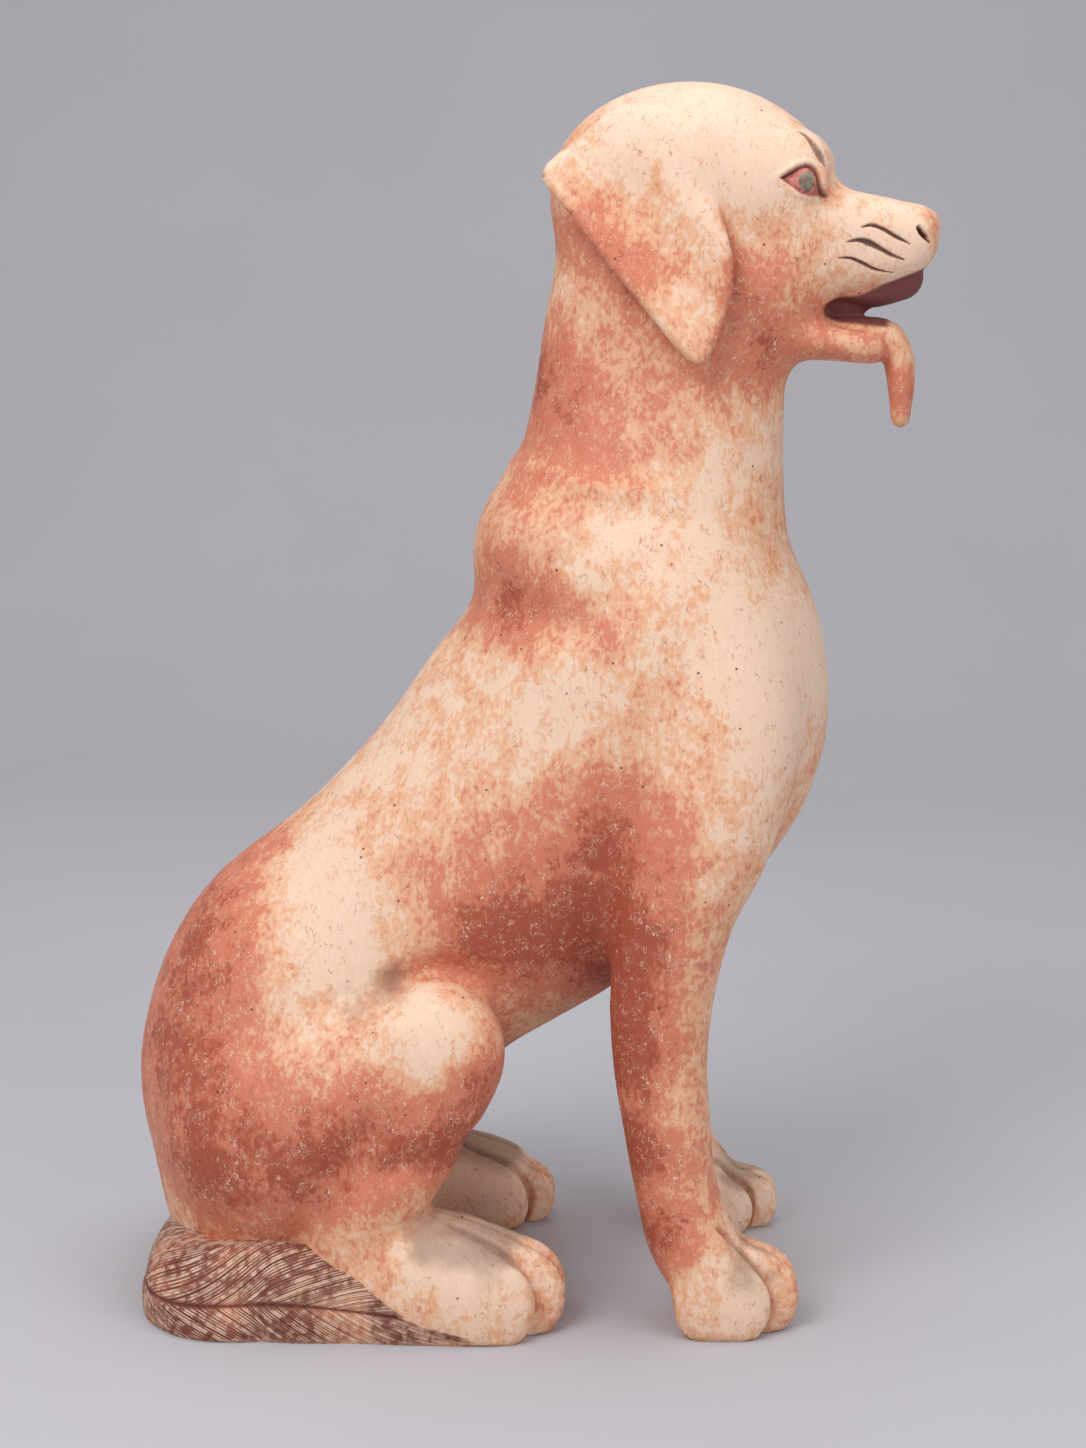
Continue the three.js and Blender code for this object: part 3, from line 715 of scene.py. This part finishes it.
# Grey-brown dirt on the feet; the two patches in the fold above the knee are painted shade.
DIRT_AND_SHADE = [(-62, 60, 16, 0.8), (-30, 52, 18, 0.7), (-100, 196, 20, 0.45), (-78, 206, 16, 0.4), (112, 44, 18, 0.5), (128, 30, 14, 0.35),
        (-140, 300, 40, 0.15), (6, 520, 20, 0.15), (170, 615, 14, 0.15), (-120, 58, 24, 0.35)]


def painted(p, patches):
    return sum(much * np.exp(-(((p[:, 0] - x) ** 2 + (p[:, 2] - z) ** 2) / radius**2)) for x, z, radius, much in patches)


all_points = np.vstack([points, tail_points])
all_faces = np.vstack([faces, tail_faces + len(points)])
n, m = len(points), len(tail_points)
# Painted shade on the rear of the front legs, the side turned away from the light.
back_of_leg_shade = smooth(78, 52, points[:, 0]) * smooth(260, 200, points[:, 2]) * smooth(30, 44, points[:, 0])
# How closed in a place is; it adds red in the recesses, partly the stain gathered there and partly painted shade.
lifted = points + 9 * slopes
hollow = np.clip(1 - wood(lifted) / 9, 0, 1)
stain_light_and_shade = 0.44 + painted(all_points, PATCHES)
stain_light_and_shade[:n] += 0.35 * hollow + 0.4 * back_of_leg_shade
stain_light_and_shade[n:] = 0.5 + 0.25 * painted(tail_points, PATCHES)
dirt_and_shade = painted(all_points, DIRT_AND_SHADE)
dirt_and_shade[:n] += 0.5 * smooth(0.5, 1, slopes[:, 2]) * smooth(80, 40, points[:, 2])
in_mouth = np.zeros(n)
head_part = points[:, 2] > 540
hp = in_head[head_part]
in_mouth[head_part] = smooth(3.2, 0.8, mouth(hp)) * smooth(223, 214, hp[:, 0]) * smooth(32, 27, np.abs(hp[:, 1]))
tongue_tip = smooth(193, 198, in_head[:, 0]) * smooth(575, 568, in_head[:, 2])
in_mouth *= 1 - tongue_tip
zeros = np.zeros(m)
marks = {
    "stain_light_and_shade": stain_light_and_shade,
    "dirt_and_shade": np.clip(dirt_and_shade, 0, 1),
    "cut": np.concatenate([cut, zeros]),
    "eye": np.concatenate([eye, zeros]),
    "iris": np.concatenate([iris, zeros]),
    "mouth": np.concatenate([in_mouth, zeros]),
    "comb": np.concatenate([np.zeros(n), comb]),
    "combed": np.concatenate([np.zeros(n), strength]),
    "groove": np.concatenate([np.zeros(n), strength * np.maximum(groove, rib_line)]),
}

low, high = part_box("dog")
own = (all_points.min(0) + all_points.max(0)) / 2
middle = (np.array(low) + np.array(high)) * 500
place = np.array([middle[0] - own[0], middle[1] - own[1], 0])
mesh = bpy.data.meshes.new("dog_wood")
mesh.from_pydata((all_points + place) / 1000, [], all_faces.tolist())
mesh.validate()
for name, values in marks.items():
    mesh.attributes.new(name, "FLOAT", "POINT").data.foreach_set("value", values.astype(np.float32))
mesh.shade_smooth()
dog = bpy.data.objects.new("dog_carved", mesh)
bpy.context.scene.collection.objects.link(dog)
print("dog:", len(points), "+", m, "corners,", len(all_faces), "facets")


# The finish: terracotta-red stain over pale wood, rubbed through on the high places, brick and maroon in the hollows
# and the cuts, grey-brown dirt on the feet, with fine grain, worm-like bare flecks and pin-holes. With the stain goes
# painted light and shade: lighter on the crown, muzzle, chest and knee, darker in the hollows, under the ears and
# withers, behind the front legs and in the fold above the knee, and painted shadow under the upper lids.

def srgb(r, g, b):
    """Linear colour of a shade that is given as it looks on a screen."""
    return tuple(((v / 255 + 0.055) / 1.055) ** 2.4 for v in (r, g, b)) + (1,)


class Tone:
    """A socket of a material, with the arithmetic that its values take."""

    def __init__(self, tree, socket=None):
        self.tree, self.socket = tree, socket

    def node(self, kind, settings=None, sockets=None, out=0):
        made = self.tree.nodes.new(kind)
        for name, value in (settings or {}).items():
            if name == "stops":
                for at, colour in value:
                    stop = made.color_ramp.elements.new(at)
                    stop.color = colour
            else:
                setattr(made, name, value)
        for name, value in (sockets or {}).items():
            if isinstance(value, Tone):
                self.tree.links.new(value.socket, made.inputs[name])
            else:
                made.inputs[name].default_value = value
        return Tone(self.tree, made.outputs[out])

    def math(self, operation, *values):
        return self.node("ShaderNodeMath", {"operation": operation}, dict(enumerate(values)))

    def __add__(self, other):
        return self.math("ADD", self, other)

    def __sub__(self, other):
        return self.math("SUBTRACT", self, other)

    def __rsub__(self, other):
        return self.math("SUBTRACT", other, self)

    def __mul__(self, other):
        return self.math("MULTIPLY", self, other)

    def __abs__(self):
        return self.math("ABSOLUTE", self)

    __radd__, __rmul__ = __add__, __mul__

    def smooth(self, low, high):
        return self.node("ShaderNodeMapRange", {"interpolation_type": "SMOOTHSTEP"}, {0: self, 1: low, 2: high})

    def mix(self, first, second):
        """From the first colour to the second, by this value."""
        return self.node("ShaderNodeMix", {"data_type": "RGBA"}, {0: self, 6: first, 7: second}, out=2)


stained_wood = bpy.data.materials.new("stained_wood")
stained_wood.use_nodes = True
nodes = stained_wood.node_tree
shader = nodes.nodes["Principled BSDF"]
tone = Tone(nodes)
where = tone.node("ShaderNodeTexCoord", out=3)


def mark(name):
    return tone.node("ShaderNodeAttribute", {"attribute_name": name}, out=2)


def noise(scale, detail=2.0, stretch=(1, 1, 1), seed=0.0, twist=0.0, rough=0.5):
    at = tone.node("ShaderNodeMapping", {}, {"Vector": where, "Scale": stretch, "Location": (seed, 2 * seed, 3 * seed)})
    return tone.node("ShaderNodeTexNoise", {}, {
        "Vector": at, "Scale": scale, "Detail": detail, "Roughness": rough, "Distortion": twist})


PALE = srgb(240, 206, 180)
HONEY = srgb(232, 176, 138)
CORAL = srgb(214, 128, 98)
BRICK = srgb(172, 84, 60)
MAROON = srgb(104, 46, 38)
DIRT_AND_SHADE_BROWN = srgb(158, 132, 114)
ALONG_GRAIN = (1, 1, 0.14)

broad = noise(17, 3, seed=1.3)
patchy = noise(62, 3, seed=4.1)
speckle = noise(330, 3, (1, 1, 0.7), seed=2.2, twist=0.6)
grain = noise(520, 3, ALONG_GRAIN, seed=7.7)
streak = noise(120, 2, (1, 1, 0.1), seed=3.9)

# How red a place is: the stain with its painted light and shade, broken up by noise.
stain_light_shade_level = (mark("stain_light_and_shade") + (broad - 0.5) * 0.5 + (patchy - 0.5) * 0.75 + (speckle - 0.5) * 0.9
        + (grain - 0.5) * 0.35 + (streak - 0.5) * 0.3)
colour = stain_light_shade_level.smooth(0.16, 0.42).mix(PALE, HONEY)
colour = stain_light_shade_level.smooth(0.40, 0.66).mix(colour, CORAL)
colour = stain_light_shade_level.smooth(0.74, 1.12).mix(colour, BRICK)

worm = abs(noise(290, 1, (1, 1, 0.6), seed=5.5, twist=1.5) - 0.5)
broken = noise(170, 2, seed=9.1)
bare = (1 - worm.smooth(0.006, 0.03)) * broken.smooth(0.44, 0.6) * stain_light_shade_level.smooth(0.3, 0.75)
colour = (bare * 0.85).mix(colour, PALE)
stroke = abs(noise(240, 1, (1, 1, 0.45), seed=11.5, twist=1.0) - 0.5)
kept = noise(150, 2, seed=13.1)
red = (1 - stroke.smooth(0.004, 0.022)) * kept.smooth(0.5, 0.64)
colour = (red * 0.6).mix(colour, BRICK)
fine = (grain - 0.5) * 0.5 + (speckle - 0.5) * 0.3 + 0.5
colour = tone.node("ShaderNodeMix", {"data_type": "RGBA", "blend_type": "SOFT_LIGHT"}, {
    0: 0.55, 6: colour, 7: tone.node("ShaderNodeCombineColor", {}, {0: fine, 1: fine, 2: fine})}, out=2)

# Grey-brown where dirt has gathered, with painted shade in the fold above the knee.
grime_and_shade = (mark("dirt_and_shade") * 1.2 + (patchy - 0.5) * 0.9).smooth(0.25, 0.9)
colour = (grime_and_shade * 0.75).mix(colour, DIRT_AND_SHADE_BROWN)
pit = tone.node("ShaderNodeTexVoronoi", {"feature": "F1"}, {"Vector": where, "Scale": 95.0, "Randomness": 1.0})
sparse = noise(75, 1, seed=21.0).smooth(0.56, 0.6)
hole = (1 - pit.smooth(0.05, 0.09)) * sparse
colour = (hole * 0.85).mix(colour, MAROON)

comb_phase = mark("comb")
tooth_line = abs(comb_phase.math("FRACT", comb_phase) - 0.5) * 2
combed = mark("combed")
hair_dark = mark("groove").smooth(0.35, 0.85)
patch_hair = noise(26, 2, seed=31.0)
colour = (combed * (patch_hair + 0.1).smooth(0.35, 0.62) * 0.85).mix(colour, MAROON)
crest = combed * (1 - mark("groove").smooth(0.1, 0.55)) * noise(210, 2, seed=8.0).smooth(0.36, 0.62)
colour = (crest * 0.8).mix(colour, PALE)
colour = (hair_dark * 0.8).mix(colour, MAROON)

colour = mark("mouth").mix(colour, srgb(120, 66, 62))
eye_red = (speckle.smooth(0.3, 0.7)).mix(srgb(150, 78, 68), srgb(214, 136, 122))
colour = mark("eye").mix(colour, eye_red)
iris_tone = (speckle.smooth(0.35, 0.65)).mix(srgb(112, 104, 88), srgb(150, 138, 118))
colour = mark("iris").mix(colour, iris_tone)
# Dark in the drawn cuts, with painted shadow under the upper lids and painted shade in the tear hollows.
colour = (mark("cut") * 0.9).math("MINIMUM", mark("cut") * 0.9, 1.0).mix(colour, srgb(88, 44, 38))
nodes.links.new(colour.socket, shader.inputs["Base Color"])

rough = 0.62 + (speckle - 0.5) * 0.25 - stain_light_shade_level.smooth(0.4, 0.9) * 0.1 + grime_and_shade * 0.15
nodes.links.new(rough.socket, shader.inputs["Roughness"])
shader.inputs["Specular IOR Level"].default_value = 0.35
height = bare * -0.35 + speckle * 0.5 + grain * 0.4 - hole * 1.6 + red * -0.2
bump = tone.node("ShaderNodeBump", {}, {"Strength": 0.5, "Distance": 0.0007, "Height": height})
nodes.links.new(bump.socket, shader.inputs["Normal"])
mesh.materials.append(stained_wood)

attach(dog, "root")
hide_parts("dog")


# The studio: a plain pale floor that runs up into a pale grey wall far behind, and broad soft lights, the
# largest over the dog's right shoulder and in front of it.

def sweep():
    depth, rise, bend, half = 2.6, 3.4, 1.2, 5.0
    profile = [(-5.0, 0.0), (depth - bend, 0.0)]
    profile += [(depth - bend + bend * np.sin(t), bend - bend * np.cos(t)) for t in np.linspace(0.1, np.pi / 2, 14)]
    profile += [(depth, rise)]
    verts = [(x, y, z) for y, z in profile for x in (-half, half)]
    return verts, [(2 * i, 2 * i + 1, 2 * i + 3, 2 * i + 2) for i in range(len(profile) - 1)]


floor_mesh = bpy.data.meshes.new("studio_floor")
verts, quads = sweep()
floor_mesh.from_pydata(verts, [], quads)
floor_mesh.shade_smooth()
floor = bpy.data.objects.new("studio_floor", floor_mesh)
bpy.context.scene.collection.objects.link(floor)
paper = bpy.data.materials.new("studio_paper")
paper.use_nodes = True
paper_tone = Tone(paper.node_tree)
paper_at = paper_tone.node("ShaderNodeTexCoord", out=3)
cloud = paper_tone.node("ShaderNodeTexNoise", {}, {"Vector": paper_at, "Scale": 3.0, "Detail": 4.0})
paper_colour = cloud.mix(srgb(186, 185, 190), srgb(194, 193, 198))
paper.node_tree.links.new(paper_colour.socket, paper.node_tree.nodes["Principled BSDF"].inputs["Base Color"])
paper.node_tree.nodes["Principled BSDF"].inputs["Roughness"].default_value = 0.85
floor_mesh.materials.append(paper)


def light(name, at, size, power, aim=(0, 0, 0.33), tint=(1, 1, 1)):
    lamp = bpy.data.lights.new(name, "AREA")
    lamp.shape, lamp.size, lamp.energy, lamp.color = "SQUARE", size, power, tint
    obj = bpy.data.objects.new(name, lamp)
    obj.location = at
    obj.rotation_euler = (np_vector(aim) - np_vector(at)).to_track_quat("-Z", "Y").to_euler()
    bpy.context.scene.collection.objects.link(obj)


def np_vector(v):
    from mathutils import Vector
    return Vector(v)


light("key_soft", (-1.1, -1.9, 2.2), 1.6, 46)
light("fill_front", (1.9, -1.6, 1.3), 1.8, 17)
light("top_soft", (0.1, 0.1, 2.6), 1.8, 24)
world = bpy.data.worlds.new("studio")
world.use_nodes = True
world.node_tree.nodes["Background"].inputs["Color"].default_value = (0.86, 0.88, 0.92, 1)
world.node_tree.nodes["Background"].inputs["Strength"].default_value = 0.42
bpy.context.scene.world = world
bpy.context.scene.view_settings.view_transform = "Standard"


# The camera stands level with the head on the dog's right, a long step away, and looks a little down.

LENS, SENSOR = 70, 36
camera_data = bpy.data.cameras.new("camera")
camera_data.sensor_fit = "AUTO"
camera_data.sensor_width, camera_data.lens = SENSOR, LENS
camera = bpy.data.objects.new("camera", camera_data)
turn = np.radians(2)
distance = 1.6146
camera.location = (distance * np.sin(turn) + place[0] / 1000, -distance * np.cos(turn) + place[1] / 1000, 0.635)
camera.rotation_euler = (np.radians(90 - 10.54), 0, turn)
bpy.context.scene.collection.objects.link(camera)
bpy.context.scene.camera = camera
